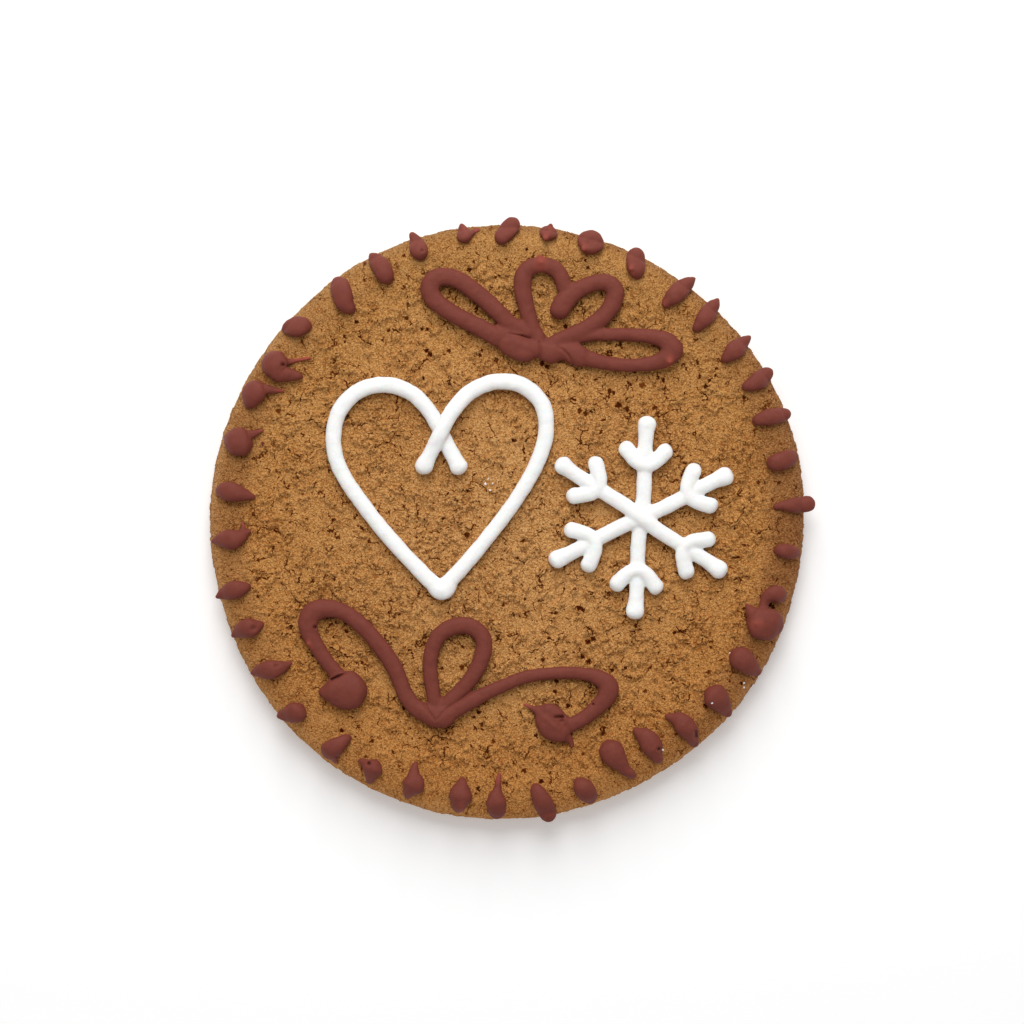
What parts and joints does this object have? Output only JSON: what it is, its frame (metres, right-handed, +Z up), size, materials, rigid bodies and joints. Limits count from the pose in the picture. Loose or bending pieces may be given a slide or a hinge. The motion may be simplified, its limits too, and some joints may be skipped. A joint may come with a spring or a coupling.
{
  "type": "gingerbread biscuit",
  "caption": "Round gingerbread biscuit with red icing drops round its rim, piped red ornaments above and below, and a piped white heart and snowflake.",
  "frame": {"origin": "middle of the flat underside", "axes": "+Z up out of the iced face, +Y towards the top of the piped design, +X to its right"},
  "size_m": [0.1016, 0.1011, 0.0109],
  "materials": {
    "crust": "matt, open-grained baked crumb",
    "red_icing": "dried icing, soft satin",
    "white_icing": "dried icing, soft satin"
  },
  "bodies": {
    "root": {"biscuit": "crust", "red_ornament_top": "red_icing", "red_ornament_bottom": "red_icing", "white_heart": "white_icing", "white_snowflake": "white_icing"}
  },
  "joints": []
}
